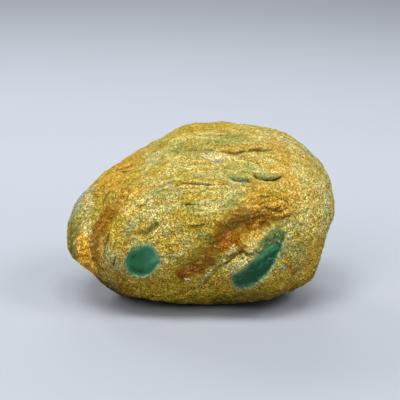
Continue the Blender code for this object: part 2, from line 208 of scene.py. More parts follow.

# Stains of the front, and painted shade and sheen: path, half width in millimetres and strength. "milky" lies
# in the jade of the windows, and a strength below 0 makes the jade deeper there.
FRONT_STAINS = {
    "golden": (
        (((-46, 12), (-38, 8), (-42, -4)), 9, 0.9),
        (((-40, 22), (-30, 16), (-36, 2)), 5, 0.6),
        (((-26, -34), (0, -37), (34, -34)), 7, 1.0),
        (((-8, -2), (4, -7), (16, -8)), 6, 0.8),
        (((44, -32), (54, -14)), 7, 0.6),
        (((24, 8), (36, 4)), 6, 0.7),
        (((34, 2), (14, -6), (2, -20), (-8, -28)), 9, 0.9),
        (((-4, 38.6), (14, 39.8)), 2, 0.9),
    ),
    "straw": (
        (((-16, 20), (2, 19), (16, 22)), 7, 0.4),
        (((-34, 4), (-24, 2), (-18, -6)), 6, 0.8),
        (((42, 16), (50, 10), (50, -4)), 7, 1.0),
        (((30, 24), (44, 24)), 6, 0.5),
        (((-6, 8), (8, 10)), 4, 0.3),
        (((-24, 26), (-10, 25)), 4, 0.4),
        (((-12, 33), (8, 36.5), (26, 34)), 4, 0.3),
    ),
    "rust": (
        (((28, -0.5), (22, -3.0), (17, -6.0), (12.5, -10)), 5.6, 1.7),
        (((12, -9), (7, -15.5), (2, -20)), 3.6, 0.45),
        (((4, -21.5), (0.5, -23.5), (-3.5, -24.6), (-8, -27)), 3.0, 0.95),
        (((-40.5, 1), (-43.5, -3.5), (-46.6, -10), (-48.3, -17), (-48.0, -24)), 2.6, 1.6),
        (((-33, 10), (-36.5, 5.5), (-38.5, 2)), 2.0, 0.7),
        (((-37, -25.5), (-35.5, -30), (-32, -36)), 2.6, 0.5),
        (((-40.8, -6.5), (-42.0, -13.5)), 0.9, 0.6),
        (((39, -22.5), (42, -25.5)), 2.2, 0.6),
        (((9.5, 28.4), (16.2, 27.4), (22, 28.8), (27.5, 29.2)), 0.7, 0.7),
        (((20, -15), (17, -17)), 1.6, 0.8),
        (((-31, -7), (-34, -16)), 1.6, 0.5),
        (((-57, -6), (-58.5, -12), (-57, -19)), 2.4, 0.4),
    ),
    "dark_red": (
        (((-9.4, -27.2), (-6.2, -28.8)), 1.8, 1.2),
        (((-3, -25), (1, -25.4)), 1.8, 0.8),
        (((17, -5), (21, -3)), 2.0, 0.5),
    ),
    "red": (
        (((12.2, -8.6), (11.0, -12.4)), 2.3, 1.1),
        (((-3.5, -25.4), (-8.5, -27.6)), 1.6, 0.8),
        (((20, -3), (16, -6)), 1.5, 0.6),
        (((43, 28.8), (45, 27.8)), 1.1, 0.6),
        (((27.0, -0.2), (28.4, -2.5)), 1.0, 0.6),
        (((-15.5, 14.5), (-13.5, 15.2)), 0.9, 0.6),
        (((34.5, -1.2), (41.5, 0.2)), 0.7, 0.7),
        (((23.5, 13.6), (25.5, 12.8)), 0.8, 0.6),
        (((-50.2, -22.5), (-48.6, -25), (-46.4, -27.5)), 1.5, 0.9),
        (((54.5, -10), (52.5, -16)), 1.0, 0.5),
    ),
    "amber": (
        (((-52.8, -10.5), (-52.5, -15), (-52.0, -19.5), (-50.6, -23.5)), 2.2, 1.8),
        (((-50.8, -19), (-49.2, -22.5), (-47.6, -25.5)), 2.0, 1.2),
        (((5.5, -30), (7.5, -31.5)), 1.2, 0.7),
        (((25, -9.5), (27, -11)), 1.6, 0.6),
    ),
    "orange": (
        (((34, 31), (38, 25), (40, 18), (42, 12), (42, 6)), 4.0, 1.0),
        (((50, 12), (52, 1), (50, -4)), 2.6, 0.5),
        (((25, 5), (33, 3), (40, 5)), 4.4, 1.0),
        (((24, -9.5), (29, -11)), 2.6, 0.75),
        (((52.5, -14), (50, -20), (46, -28)), 1.4, 0.8),
        (((1, -33), (1.8, -37)), 1.4, 0.6),
        (((5.5, -30), (9.5, -34)), 2.4, 0.6),
        (((-9, -24), (-12, -19)), 2.4, 0.3),
        (((-16, -1), (-10, -2.6)), 2.0, 0.6),
        (((-5, -4.9), (1, -4.5), (6, -3.8)), 0.7, 0.6),
        (((12, 30.0), (18, 29.8), (28, 30.4)), 0.9, 0.75),
        (((-36, 12), (-33, 6), (-36, 0)), 3.0, 0.45),
        (((-47, 8), (-39, 15), (-28, 25)), 2.6, 0.6),
        (((-37, 3.6), (-30, 9), (-20, 13)), 1.4, 0.7),
        (((-31, -1), (-25, 4), (-17, 7)), 1.1, 0.6),
        (((-44, 14), (-38, 20), (-30, 24)), 2.4, 0.5),
        (((20, 12), (24, 10), (30, 12)), 2.0, 0.5),
        (((-2, 24), (8, 23)), 1.6, 0.5),
        (((30, 22), (34, 20)), 2.0, 0.6),
        (((-4, 13.4), (10, 13.6)), 0.6, 0.6),
        (((-38, 22), (-32, 20.5)), 1.8, 0.5),
        (((-45.0, -11), (-44.6, -16), (-44.8, -22)), 1.2, 1.1),
    ),
    "green": (
        (((-12, 29), (0, 31), (10, 33.4), (20, 33.8)), 2.2, 1.0),
        (((2, 28.2), (10, 30.2), (16, 30.8)), 0.8, 0.5),
        (((-22, 25.5), (-10, 24)), 3.6, 0.35),
        (((-20.5, 11.0), (-15, 12.6)), 1.9, 0.9),
        (((0, -9.5), (5, -10.8)), 2.8, 0.7),
        (((42.5, -24.5), (46, -26)), 2.6, 0.6),
        (((39, -5.6), (46, -5.6)), 3.0, 0.8),
        (((-56.5, -2), (-58.0, -16)), 3.0, 0.9),
        (((-54.5, 6), (-52.5, 0)), 1.8, 0.8),
        (((-33, -7), (-29, -14)), 3.4, 0.8),
        (((14, 17.5), (22, 20)), 3.2, 0.7),
        (((26, 17), (31, 16.4), (36, 17.2)), 1.1, 0.8),
        (((-8, 18), (2, 17.2)), 3.0, 0.5),
        (((38, -18), (45, -14)), 3.6, 0.7),
        (((12, 4), (18, 8), (24, 12)), 2.6, 0.6),
        (((-10, 6), (-2, 2)), 3.0, 0.5),
        (((8, 20), (14, 22)), 2.4, 0.5),
        (((10, -19), (4, -26), (-1, -33)), 1.8, 0.6),
    ),
    "teal": (
        (((0.5, 28.2), (5.5, 28.7)), 0.9, 0.6),
        (((-14.6, 13.4), (-12.4, 14.0)), 0.9, 1.1),
        (((6.8, 23.8), (11.8, 24.0)), 0.9, 0.8),
        (((12.5, 15.0), (16, 15.6), (21.5, 15.0)), 1.1, 1.0),
        (((46.5, 14.8), (50, 13.5)), 1.3, 0.5),
        (((35, 26.7), (37.8, 26.2)), 1.2, 0.5),
        (((-58.6, -3), (-57.0, 1), (-54.6, 5.4)), 0.6, 1.0),
        (((-30.6, -4), (-32.4, -8)), 1.4, 0.7),
        (((43, -20), (46, -22.5)), 1.4, 0.4),
    ),
    # Painted shade in the front's hollows, cracks and furrows, under a broken edge above the leaf window, along
    # the gully and along the bottom under the leaf window. The strokes at the narrow end's left rim make the
    # rind there a darker olive.
    "shade": (
        (((-24.2, -8.2), (-22.2, -6.6), (-20.0, -4.8)), 1.6, 1.0),
        (((-27.6, -8.4), (-26.6, -7.4)), 0.8, 1.2),
        (((-25.8, -9.7), (-24.4, -9.2)), 0.6, 1.0),
        (((-57.6, -5), (-58.0, -13), (-55.4, -19)), 3.0, 0.4),
        (((-54, -4), (-55, -9)), 1.4, 0.5),
        (((12.0, -20.0), (16.0, -17.8), (20.5, -17.0)), 0.8, 1.0),
        (((9.0, -23.8), (4.0, -28.6), (1.6, -32)), 0.9, 0.9),
        (((-38.4, -19.3), (-38.8, -21.6), (-39.3, -23.7)), 0.4, 0.9),
        (((-44.0, 5.0), (-41.5, 9.5)), 0.9, 0.6),
        (((22, -1.6), (15, -4.6), (9, -8.4)), 1.5, 0.8),
        (((8, -40.5), (20, -38.6), (32, -37), (43, -33)), 3.4, 0.9),
    ),
    "misty": (
        (((-57.4, -1), (-55.4, 2.5), (-53.2, 6.5), (-50.4, 10.5)), 1.6, 1.3),
        (((-14.6, 13.6), (-12.8, 14.0)), 0.8, 0.8),
        (((7, 23.6), (11, 24.0)), 0.8, 0.7),
        (((38, -24), (41, -21)), 1.6, 0.4),
    ),
    "dark_green": (
        (((28.0, -16.6), (30.4, -12.8), (34.8, -9.0)), 2.6, 1.5),
        (((33.6, -13.6), (37.8, -9.8)), 1.7, 1.0),
        (((35.2, -6.0), (37.6, -5.0)), 1.2, 0.6),
        (((21.4, -17.6), (23.6, -18.0)), 0.9, 0.8),
        (((-61.5, -4), (-62, -12), (-60, -19)), 2.0, 0.45),
    ),
    "pale": (
        (((2.8, 26.6), (7, 26.2), (11.4, 25.8)), 1.7, 1.0),
        (((6.2, 25), (6.2, 19.5)), 0.9, 0.7),
        (((-18.0, 28.6), (-20.5, 25.5), (-24.0, 23.0)), 1.5, 0.8),
        (((-23.5, 5.8), (-21.5, 1)), 2.8, 0.7),
        (((-51.9, -4.6), (-51.3, -9.0)), 1.4, 1.5),
        (((-50.4, 8.6), (-49.2, 4.4)), 1.5, 0.9),
        (((-50.8, 2), (-50.0, -1)), 1.2, 0.7),
        (((-48.0, 13), (-46.8, 10)), 1.2, 0.6),
        (((-36.6, -24), (-34.2, -20)), 1.8, 0.4),
        (((42, 21.5), (45, 18.5)), 2.6, 0.5),
        (((52.5, 13.8), (56, 10), (56.5, 2)), 1.6, 0.6),
        (((35, 34.8), (41, 31.8), (47, 27.5)), 1.8, 0.8),
        (((40.5, 8), (42.5, 4)), 1.2, 0.5),
        (((15.6, -15.6), (13.6, -17.6), (11.2, -19.8)), 2.0, 0.55),
        (((6.0, -24.6), (3.2, -28.5), (0.4, -32)), 1.5, 0.5),
        (((-6.5, -29.4), (-4, -30.4)), 1.1, 0.6),
        (((20.0, -20.9), (22.0, -22.2)), 1.2, 1.2),
        (((26.0, -16.4), (29.0, -17.2)), 0.9, 0.8),
        (((10.4, -22.2), (11.6, -23.4)), 0.8, 0.8),
        (((-3, 10), (2, 5.5)), 1.4, 0.5),
        (((34, 11.5), (38, 11.8)), 1.4, 0.4),
        (((46, -8), (50, 2)), 2.4, 0.3),
        (((38, -4), (41.5, -5.6)), 1.4, 0.6),
    ),
    "milky": (
        (((17, -31), (26, -26), (35, -17)), 4.0, -0.45),
        (((-28, -21.5), (-24, -21)), 7.0, 0.40),
        (((-31.4, -25.2), (-27.6, -26.8)), 2.0, -0.45),
        (((-30.6, -18.4), (-28.4, -19.6)), 1.5, -0.40),
        (((-23.6, -18.0), (-20.8, -21.2)), 1.8, 0.45),
        (((-24, -23), (-21, -21)), 1.2, 0.5),
        (((-31, -16.6), (-25, -13.8), (-20.2, -15.6), (-18.4, -20)), 1.8, 1.2),
        (((-32.6, -19), (-33.2, -23.5)), 1.0, 0.6),
        (((-29.6, -27), (-25, -28)), 0.8, 0.6),
        # Painted sheen: lighter jade along the top of the leaf window.
        (((28, -18.4), (33, -15.2), (36.6, -14.4)), 1.5, 0.7),
        (((25.2, -20.6), (30.4, -17.9)), 0.35, 0.9),
        (((24.6, -22.6), (27.6, -19.6), (28.6, -20.2)), 0.35, 1.0),
        (((30.8, -20.2), (34.2, -20.4)), 0.35, 1.3),
        (((26.4, -28.9), (30.2, -29.1)), 0.35, 1.2),
        (((21, -26.4), (26, -24.6), (31.6, -20.4)), 0.30, 0.6),
        (((17.6, -29.4), (21.4, -27.8)), 0.8, 0.4),
        (((32.4, -16.6), (35.8, -15.2)), 0.4, 1.0),
        (((19.4, -32.4), (24, -31.2)), 0.4, 0.8),
    ),
}


# ---- Shapes: curves, strokes and noise ----


def smooth_step(low, high, value):
    share = np.clip((value - low) / (high - low), 0, 1)
    return share * share * (3 - 2 * share)


def spline(points, closed, steps):
    """Points along a Catmull-Rom curve through the given ones, with so many steps from one to the next."""
    knots = np.array(points, float)
    if closed:
        before, after, beyond = (np.roll(knots, turn, 0) for turn in (1, -1, -2))
        start = knots
    else:
        ends = np.vstack([2 * knots[0] - knots[1], knots, 2 * knots[-1] - knots[-2]])
        before, start, after, beyond = ends[:-3], ends[1:-2], ends[2:-1], ends[3:]
    t = (np.arange(steps) / steps)[:, None, None]
    curve = 0.5 * (
        2 * start
        + (after - before) * t
        + (2 * before - 5 * start + 4 * after - beyond) * t**2
        + (3 * start - before - 3 * after + beyond) * t**3
    )
    curve = curve.transpose(1, 0, 2).reshape(-1, knots.shape[1])
    return np.vstack([curve, curve[:1] if closed else knots[-1:]])


def from_line(places, line):
    """Each place's distance from a line, positive on its left, and its share of the way along the line."""
    start, step = line[:-1], np.diff(line, axis=0)
    length = np.hypot(*step.T)
    reached = np.concatenate([[0], np.cumsum(length)])
    nearest = np.full(len(places), np.inf)
    signed, along = np.zeros(len(places)), np.zeros(len(places))
    for (x, y), (dx, dy), span, before in zip(start, step, length, reached):
        px, py = places[:, 0] - x, places[:, 1] - y
        share = np.clip((px * dx + py * dy) / span**2, 0, 1)
        distance = np.hypot(px - share * dx, py - share * dy)
        closer = distance < nearest
        nearest[closer] = distance[closer]
        signed[closer] = (distance * np.where(dx * py - dy * px > 0, 1, -1))[closer]
        along[closer] = (before + share * span)[closer] / reached[-1]
    return signed, along


def from_path(places, path):
    """from_line for the smooth curve along a path."""
    return from_line(places, spline(path, closed=False, steps=5))


def stroke(places, path, half_width):
    """1 along a path, fading to 0 on both sides."""
    away, _ = from_path(places, path)
    return np.exp(-((away / half_width) ** 2))


def broken_edge(places, path, height, reach):
    """A broken layer, proud on the left of its path; and its narrow undercut, on the right."""
    half_drop, end_share = 0.32, 0.2
    undercut_reach = 1.3 * half_drop
    away, along = from_path(places, path)
    taper = smooth_step(0, end_share, along) * smooth_step(0, end_share, 1 - along)
    proud = smooth_step(-half_drop, half_drop, away) * np.exp(-np.clip(away / reach, 0, None) ** 2)
    undercut = np.exp(-(((away + undercut_reach) / undercut_reach) ** 2))
    return height * taper * (proud - UNDERCUT_SHARE * undercut), taper * undercut


def noise_at(points, size, shift):
    """Smooth noise from -1 to 1 with features of this size in millimetres. Each shift is another pattern."""
    origin = Vector((shift, 2.3 * shift, -shift))
    return np.array([noise.noise(Vector(p) + origin) for p in points / (size * MM)])


def lumps(points, kind, shift):
    """Lumps of one kind, in millimetres out of the surface."""
    height, size = kind
    return height * noise_at(points, size, shift)


def layer_noise(points, along, across, shift):
    """Noise drawn out along the stone's layers: folded over it, sloping at the right, upright at the nose.

    Its features have one size along the layers and another across them, in millimetres.
    """
    x, y, z = points.T / MM
    radius, angle = np.hypot(x - FOLD_X, z - FOLD_Z), np.arctan2(x - FOLD_X, z - FOLD_Z)
    folded = np.array((angle * FOLD_RADIUS / along, y / across, radius / across))
    level = x * math.cos(SLOPE) + z * math.sin(SLOPE)
    rise = z * math.cos(SLOPE) - x * math.sin(SLOPE)
    sloping = np.array((level / along, y / across, rise / across))
    upright = np.array((x / across, y / across, (z + 0.35 * x) / along))
    sideways, upward = (x - SLOPE_X) / SLOPE_HALF_WIDTH, (z - SLOPE_Z) / SLOPE_HALF_HEIGHT
    low_right = np.exp(-(sideways**2) - upward**2) * smooth_step(10, -10, y)
    at_nose = smooth_step(NOSE_FROM, NOSE_FULL, x) * smooth_step(58, 46, z)
    mixed = np.zeros(len(points))
    for share, kind in (
        ((1 - low_right) * (1 - at_nose), folded),
        (low_right * (1 - at_nose), sloping),
        (at_nose, upright),
    ):
        mixed += share * noise_at(kind.T * MM, 1, shift)
        shift += 1
    return mixed


def terraces(points):
    """The layers' broken edges all over: each rises outward and ends in a short drop that faces down."""
    spacing, lean, drop = 4.2, 0.25, 0.16
    x, y, z = points.T / MM
    layer = (np.hypot(x - FOLD_X, z - FOLD_Z) + lean * y) / spacing + 1.1 * noise_at(points, 11.0, 97)
    layer += 0.35 * noise_at(points, 3.0, 101)
    share = layer - np.floor(layer)
    return np.where(share < drop, share / drop, (1 - share) / (1 - drop)) - 0.5


class Face:
    """One side of the stone, laid out as an eye sees it: (right, up) in millimetres from the middle."""

    def __init__(self, azimuth):
        turn = math.radians(azimuth)
        level = Vector((-math.sin(turn), math.cos(turn), 0))
        self.look = level * math.cos(EYE_ELEVATION) - Vector((0, 0, math.sin(EYE_ELEVATION)))
        self.right = Vector((math.cos(turn), math.sin(turn), 0))
        self.up = self.right.cross(self.look)
        self.eye = CENTRE - self.look * EYE_DISTANCE

    def layout(self, points):
        """Where the eye sees each point."""
        from_centre = points - np.array(CENTRE)
        further = 1 + from_centre @ np.array(self.look) / EYE_DISTANCE
        axes = np.array((self.right, self.up)).T
        return from_centre @ axes / further[:, None] / MM

    def shown(self, normals, nothing=0.0, full=0.25):
        """1 where the stone faces the eye, fading to 0 near its outline."""
        return smooth_step(nothing, full, -normals @ np.array(self.look))

    def ray(self, place):
        """The direction in which the eye sees a place."""
        return (CENTRE + (self.right * place[0] + self.up * place[1]) * MM - self.eye).normalized()


FRONT, BACK = Face(azimuth=0), Face(azimuth=180)


# ---- The stone ----


def select_only(piece):
    bpy.ops.object.select_all(action="DESELECT")
    piece.select_set(True)
    bpy.context.view_layer.objects.active = piece


def apply_modifier(piece, kind, **settings):
    modifier = piece.modifiers.new(kind.lower(), kind)
    for key, value in settings.items():
        setattr(modifier, key, value)
    select_only(piece)
    bpy.ops.object.modifier_apply(modifier=modifier.name)


def fine_copy(solid):
    """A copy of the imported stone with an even, fine surface and no facets."""
    piece = bpy.data.objects.new("jade_stone", solid.data.copy())
    bpy.context.scene.collection.objects.link(piece)
    piece.data.materials.clear()
    select_only(piece)
    bpy.ops.object.mode_set(mode="EDIT")
    bpy.ops.mesh.select_all(action="SELECT")
    bpy.ops.mesh.remove_doubles(threshold=0.00001)
    bpy.ops.object.mode_set(mode="OBJECT")
    apply_modifier(piece, "REMESH", mode="VOXEL", voxel_size=POINT_PITCH)
    apply_modifier(piece, "SMOOTH", factor=0.5, iterations=SMOOTHING_ROUNDS)
    return piece


def read_points(piece):
    mesh = piece.data
    points, normals = np.zeros((2, len(mesh.vertices) * 3))
    mesh.vertices.foreach_get("co", points)
    mesh.vertex_normals.foreach_get("vector", normals)
    return points.reshape(-1, 3), normals.reshape(-1, 3)


def write_points(piece, points):
    piece.data.vertices.foreach_set("co", points.ravel())
    piece.data.update()


def write_field(piece, name, values):
    """A value at each point of the surface, for the finish to read."""
    piece.data.attributes.new(name, "FLOAT", "POINT").data.foreach_set("value", values.astype(np.float32))


class Window:
    """A window's outline on the front, and the floor that was ground for it."""

    def __init__(self, outline, surface):
        self.line = spline(outline, closed=True, steps=12)
        middle = self.line[:-1].mean(0)
        rings = (0.25, 0.5, 0.8)  # as shares of the way from the middle to the outline
        inner = [middle + share * (place - middle) for share in rings for place in self.line[::3]]
        hits = [surface.ray_cast(FRONT.eye, FRONT.ray(place))[:2] for place in inner]
        spots = np.array([spot for spot, _ in hits])
        self.facing = np.array(sum((facing for _, facing in hits), Vector()).normalized())
        self.middle = spots.mean(0)
        tips = [FRONT.ray(self.line[n]) for n in (0, len(self.line) // 2)]
        along = np.array(tips[0] - tips[1])
        along -= self.facing * (along @ self.facing)
        self.along = along / np.linalg.norm(along)
        self.across = np.cross(self.facing, self.along)
        self.bend = np.linalg.lstsq(self.terms(spots), (spots - self.middle) @ self.facing, rcond=None)[0]

    def terms(self, points):
        """What the floor's height is worked out from: it is flat across the window and bent along it."""
        x, y = (points - self.middle) @ self.along, (points - self.middle) @ self.across
        return np.array((np.ones(len(points)), x, y, x * x)).T

    def above_floor(self, points):
        return (points - self.middle) @ self.facing - self.terms(points) @ self.bend

    def edge_distance(self, places):
        """Millimetres from the outline, negative inside it."""
        away, _ = from_line(places, self.line)
        inside = np.zeros(len(places), bool)
        for (x0, y0), (x1, y1) in zip(self.line[:-1], self.line[1:]):
            level = (places[:, 1] >= min(y0, y1)) & (places[:, 1] < max(y0, y1))
            crossing = x0 + (places[:, 1] - y0) * (x1 - x0) / (y1 - y0 or 1)
            inside ^= level & (places[:, 0] < crossing)
        return np.where(inside, -np.abs(away), np.abs(away))


def work_side(face, points, normals, fields, edges, cracks, stains):
    """Returns the finer relief of one side, in millimetres out of the surface, and adds to the fields."""
    shown, tinted = face.shown(normals), face.shown(normals, nothing=-0.15, full=0.20)
    wobble = np.array([noise_at(points, 4.0, shift) for shift in (11, 23)]).T
    ripple = np.array([noise_at(points, 1.4, shift) for shift in (13, 29)]).T
    places = face.layout(points)
    broken = places + WOBBLE * wobble + RIPPLE * ripple
    vary = np.clip(0.85 + 0.8 * noise_at(points, 3.5, 61), 0.2, 1.3)
    relief = np.zeros(len(points))
    for path, height, reach in edges:
        step, undercut = broken_edge(broken, path, height, reach)
        relief += step * vary * shown
        # Painted shade in the undercut under each broken edge.
        dark = undercut * vary * shown * min(1, height / DARK_EDGE_HEIGHT)
        fields["crack"] = np.maximum(fields["crack"], dark)
    for path, half_width, depth in cracks:
        line = stroke(broken, path, half_width) * shown * vary
        relief -= depth * line
        # Painted shade in each crack, darker as the crack is deeper.
        dark = line * min(1, CRACK_DARKNESS * depth / half_width)
        fields["crack"] = np.maximum(fields["crack"], dark)
    for name, strokes in stains.items():
        for path, half_width, strength in strokes:
            fields[name] += strength * tinted * stroke(places, path, half_width)
    return relief


def work_outline(points, normals):
    """The front's fills, and the swells along its outline, in millimetres out of the surface."""
    places, shown = FRONT.layout(points), FRONT.shown(normals)
    edge_on = smooth_step(0.75, 0.35, np.abs(normals @ np.array(FRONT.look)))
    filled = sum(height * stroke(places, path, half_width) for path, half_width, height in FRONT_FILLS)
    swollen = sum(height * stroke(places, path, half_width) for path, half_width, height in OUTLINE_SWELLS)
    return filled * shown + swollen * edge_on


def creases(points):
    """Short broken cracks that run with the layers: 1 in the middle of each one, 0 away from it."""
    half_width, wander = 0.12, 0.18  # as values of the noise
    away = np.abs(layer_noise(points, 7.0, 3.0, 79) + wander * noise_at(points, 1.5, 83))
    return np.clip(1 - away / half_width, 0, 1) * smooth_step(0.10, 0.50, noise_at(points, 6.0, 89))


def work_all_round(points, fields):
    """The rind's lumps, layers and creases all over the stone, and the fields of where they lie."""
    near_top = smooth_step(40, 72, points[:, 2] / MM)
    at_nose = smooth_step(-34, -44, points[:, 0] / MM)
    flow = layer_noise(points, 9.0, 1.5, 71)
    broad_flow = layer_noise(points, 20.0, 3.4, 75)
    layered = terraces(points) * smooth_step(-0.15, 0.35, noise_at(points, 9.0, 103))
    crease = creases(points)
    fibre = layer_noise(points, 5.0, 0.8, 107)
    small = (
        lumps(points, SMALL_LUMPS, 37)
        + lumps(points, FINE_LUMPS, 41)
        + (LAYERS + MORE_AT_TOP * near_top + MORE_AT_NOSE * at_nose) * flow
        + TERRACES * layered
        + FIBRES * fibre
        - CREASES * crease
    )
    # Painted shade in the creases.
    fields["crack"] = np.maximum(fields["crack"], CRACK_DARKNESS * crease)
    # Painted light and shade: the small relief, which the finish makes paler on its crests and darker in its
    # hollows.
    fields["relief_light_and_shade"] = np.clip(small / FULL_SHADING_RELIEF, -1, 1)
    fields["flow"] = np.clip(broad_flow + 0.5 * flow, -1, 1)
    fields["fibre"] = fibre
    return lumps(points, BROAD_LUMPS, 31) + BROAD_LAYERS * broad_flow + small


def grind_windows(solid, points, normals, worked):
    """Grinds the windows' floors into the worked points, and returns how far each point is from an edge."""
    corners, facets = solid.data.vertices, solid.data.polygons
    surface = BVHTree.FromPolygons([corner.co for corner in corners], [facet.vertices for facet in facets])
    edge = np.full(len(points), FAR_AWAY)
    ragged = 0.20 * noise_at(points, 1.2, 53) + 0.45 * noise_at(points, 2.6, 59)
    places, turned_away = FRONT.layout(points), normals @ np.array(FRONT.look) > -0.1
    for outline in (ROUND_WINDOW, LEAF_WINDOW):
        window = Window(outline, surface)
        reach = window.edge_distance(places) + ragged
        reach[turned_away] = FAR_AWAY
        ground = smooth_step(GROUND_BORDER, -GROUND_BORDER, reach)
        worked -= (ground * window.above_floor(worked))[:, None] * window.facing
        edge = np.minimum(edge, reach)
    return edge


def thin_out(piece, outside, front, cracked):
    """Thins the surface to its number of triangles, least of all at the windows and in the cracks."""
    thinned = piece.vertex_groups.new(name="thinned")
    for weight, chosen in (
        (THIN_ALL_OVER, outside),
        (THIN_FRONT, outside & front),
        (THIN_CRACKS, outside & front & cracked),
    ):
        thinned.add(np.flatnonzero(chosen).tolist(), weight, "REPLACE")
    triangles = 2 * len(piece.data.polygons)
    apply_modifier(piece, "DECIMATE", ratio=STONE_TRIANGLES / triangles, vertex_group=thinned.name)


def make_stone(solid):
    """The stone's surface, worked all round, on both sides and in its windows, with its fields."""
    piece = fine_copy(solid)
    points, normals = read_points(piece)
    fields = {name: np.zeros(len(points)) for name in ("crack", *FRONT_STAINS)}
    relief = work_outline(points, normals) + work_all_round(points, fields)
    relief += work_side(FRONT, points, normals, fields, FRONT_EDGES, FRONT_CRACKS, FRONT_STAINS)
    relief += work_side(BACK, points, normals, fields, BACK_EDGES, BACK_CRACKS, BACK_STAINS)
    relief = (relief - RELIEF_SUNK) * smooth_step(0, RELIEF_FADE, points[:, 2] / MM)
    worked = points + normals * relief[:, None] * MM
    edge = grind_windows(solid, points, normals, worked)
    worked[:, 2] = np.where(points[:, 2] < FOOT_HEIGHT, 0.0, np.maximum(worked[:, 2], 0.0))
    write_points(piece, worked)
    for name, values in fields.items():
        write_field(piece, name, values)
    write_field(piece, "window_edge", np.clip(edge, -EDGE_LIMIT, EDGE_LIMIT))
    front = normals @ np.array(FRONT.look) < 0
    thin_out(piece, edge > RIM_WIDTH, front, fields["crack"] > CRACKED)
    select_only(piece)
    bpy.ops.object.shade_smooth()
    return piece


# ---- Finishes ----


class Socket:
    """One output of a node. An expression on sockets adds the Math nodes that work it out."""

    def __init__(self, finish, output):
        self.finish, self.output = finish, output

    def maths(self, operation, first, second):
        return self.finish.node("ShaderNodeMath", {"operation": operation}, {0: first, 1: second})

    def __add__(self, other):
        return self.maths("ADD", self, other)

    __radd__ = __add__

    def __sub__(self, other):
        return self.maths("SUBTRACT", self, other)

    def __rsub__(self, other):
        return self.maths("SUBTRACT", other, self)

    def __mul__(self, other):
        return self.maths("MULTIPLY", self, other)

    __rmul__ = __mul__

    def __pow__(self, other):
        return self.maths("POWER", self, other)


class Finish:
    """One material and its nodes."""

    def __init__(self, name):
        self.material = bpy.data.materials.new(name)
        self.material.use_nodes = True
        self.tree = self.material.node_tree
        self.tree.nodes.clear()

    def node(self, kind, settings, sockets, output=0):
        """Adds a node, sets it up, fills or links its sockets, and returns one of its outputs."""
        made = self.tree.nodes.new(kind)
        for key, value in settings.items():
            setattr(made, key, value)
        for key, value in sockets.items():
            if isinstance(value, Socket):
                self.tree.links.new(value.output, made.inputs[key])
            else:
                made.inputs[key].default_value = value
        return Socket(self, made.outputs[output])

    def place(self):
        """The place on the piece, in millimetres."""
        metres = self.node("ShaderNodeTexCoord", {}, {}, "Object")
        return self.node("ShaderNodeVectorMath", {"operation": "SCALE"}, {0: metres, "Scale": 1 / MM})

    def turned(self, place, degrees, stretch):
        """A place turned about its axes and divided by a stretch along each, for a pattern with a grain."""
        turn = [math.radians(angle) for angle in degrees]
        return self.node(
            "ShaderNodeMapping",
            {"vector_type": "TEXTURE"},
            {"Vector": place, "Rotation": turn, "Scale": stretch},
        )

    def noise(self, place, size, detail=2.0, roughness=0.5, distortion=0.0):
        """Smooth noise from 0 to 1 with features of this size in millimetres."""
        sockets = {
            "Vector": place,
            "Scale": 1 / size,
            "Detail": detail,
            "Roughness": roughness,
            "Distortion": distortion,
        }
        return self.node("ShaderNodeTexNoise", {}, sockets, "Fac")

    def field(self, name):
        """A value that write_field wrote on the piece."""
        return self.node("ShaderNodeAttribute", {"attribute_name": name}, {}, "Fac")

    def step(self, value, low, high):
        """0 below low, 1 above high, smooth between them."""
        return self.node(
            "ShaderNodeMapRange",
            {"interpolation_type": "SMOOTHSTEP"},
            {"Value": value, "From Min": low, "From Max": high, "To Min": 0.0, "To Max": 1.0},
        )

    def mix(self, share, first, second, blend="MIX"):
        """Two colours mixed by a share of the second."""
        return self.node(
            "ShaderNodeMix",
            {"data_type": "RGBA", "blend_type": blend, "clamp_factor": True},
            {0: share, 6: first, 7: second},
            2,
        )

    def clamped(self, value):
        """A value kept between 0 and 1."""
        return self.node("ShaderNodeClamp", {}, {0: value})

    def bump(self, height, distance):
        """A normal for a relief whose height runs from 0 to 1 over a distance in millimetres."""
        return self.node("ShaderNodeBump", {}, {"Height": height, "Distance": distance * MM, "Strength": 1.0})

    def coat(self, colour, roughness, shine, normal):
        """A surface of this colour, with its shine given as a specular level."""
        return self.node(
            "ShaderNodeBsdfPrincipled",
            {},
            {"Base Color": colour, "Roughness": roughness, "Specular IOR Level": shine, "Normal": normal},
        )

    def done(self, shader):
        output = self.tree.nodes.new("ShaderNodeOutputMaterial")
        self.tree.links.new(shader.output, output.inputs["Surface"])
        return self.material


def rgb(red, green, blue):
    return (red, green, blue, 1.0)


# The rind.
MUSTARD = rgb(0.455, 0.382, 0.102)
OCHRE = rgb(0.465, 0.322, 0.040)
OLIVE = rgb(0.380, 0.388, 0.122)
GOLDEN = rgb(0.408, 0.272, 0.018)
STRAW = rgb(0.650, 0.520, 0.120)
UMBER = rgb(0.228, 0.112, 0.003)
RUST = rgb(0.235, 0.080, 0.002)
DARK_RED = rgb(0.180, 0.048, 0.005)
RED = rgb(0.420, 0.130, 0.018)
ORANGE = rgb(0.560, 0.300, 0.034)
AMBER = rgb(0.780, 0.400, 0.030)
GREEN = rgb(0.275, 0.280, 0.062)
DARK_GREEN = rgb(0.030, 0.100, 0.030)
TEAL = rgb(0.165, 0.255, 0.125)
PALE = rgb(0.540, 0.460, 0.180)
MISTY = rgb(0.235, 0.305, 0.205)
SHADE = rgb(0.130, 0.096, 0.014)
# Painted shade at the stone's foot, where it meets the floor.
FOOT_SHADE = rgb(0.070, 0.044, 0.008)
# Painted shade in cracks and creases and under broken edges.
CRACK_SHADE = rgb(0.085, 0.058, 0.008)
HALO = rgb(0.335, 0.375, 0.165)
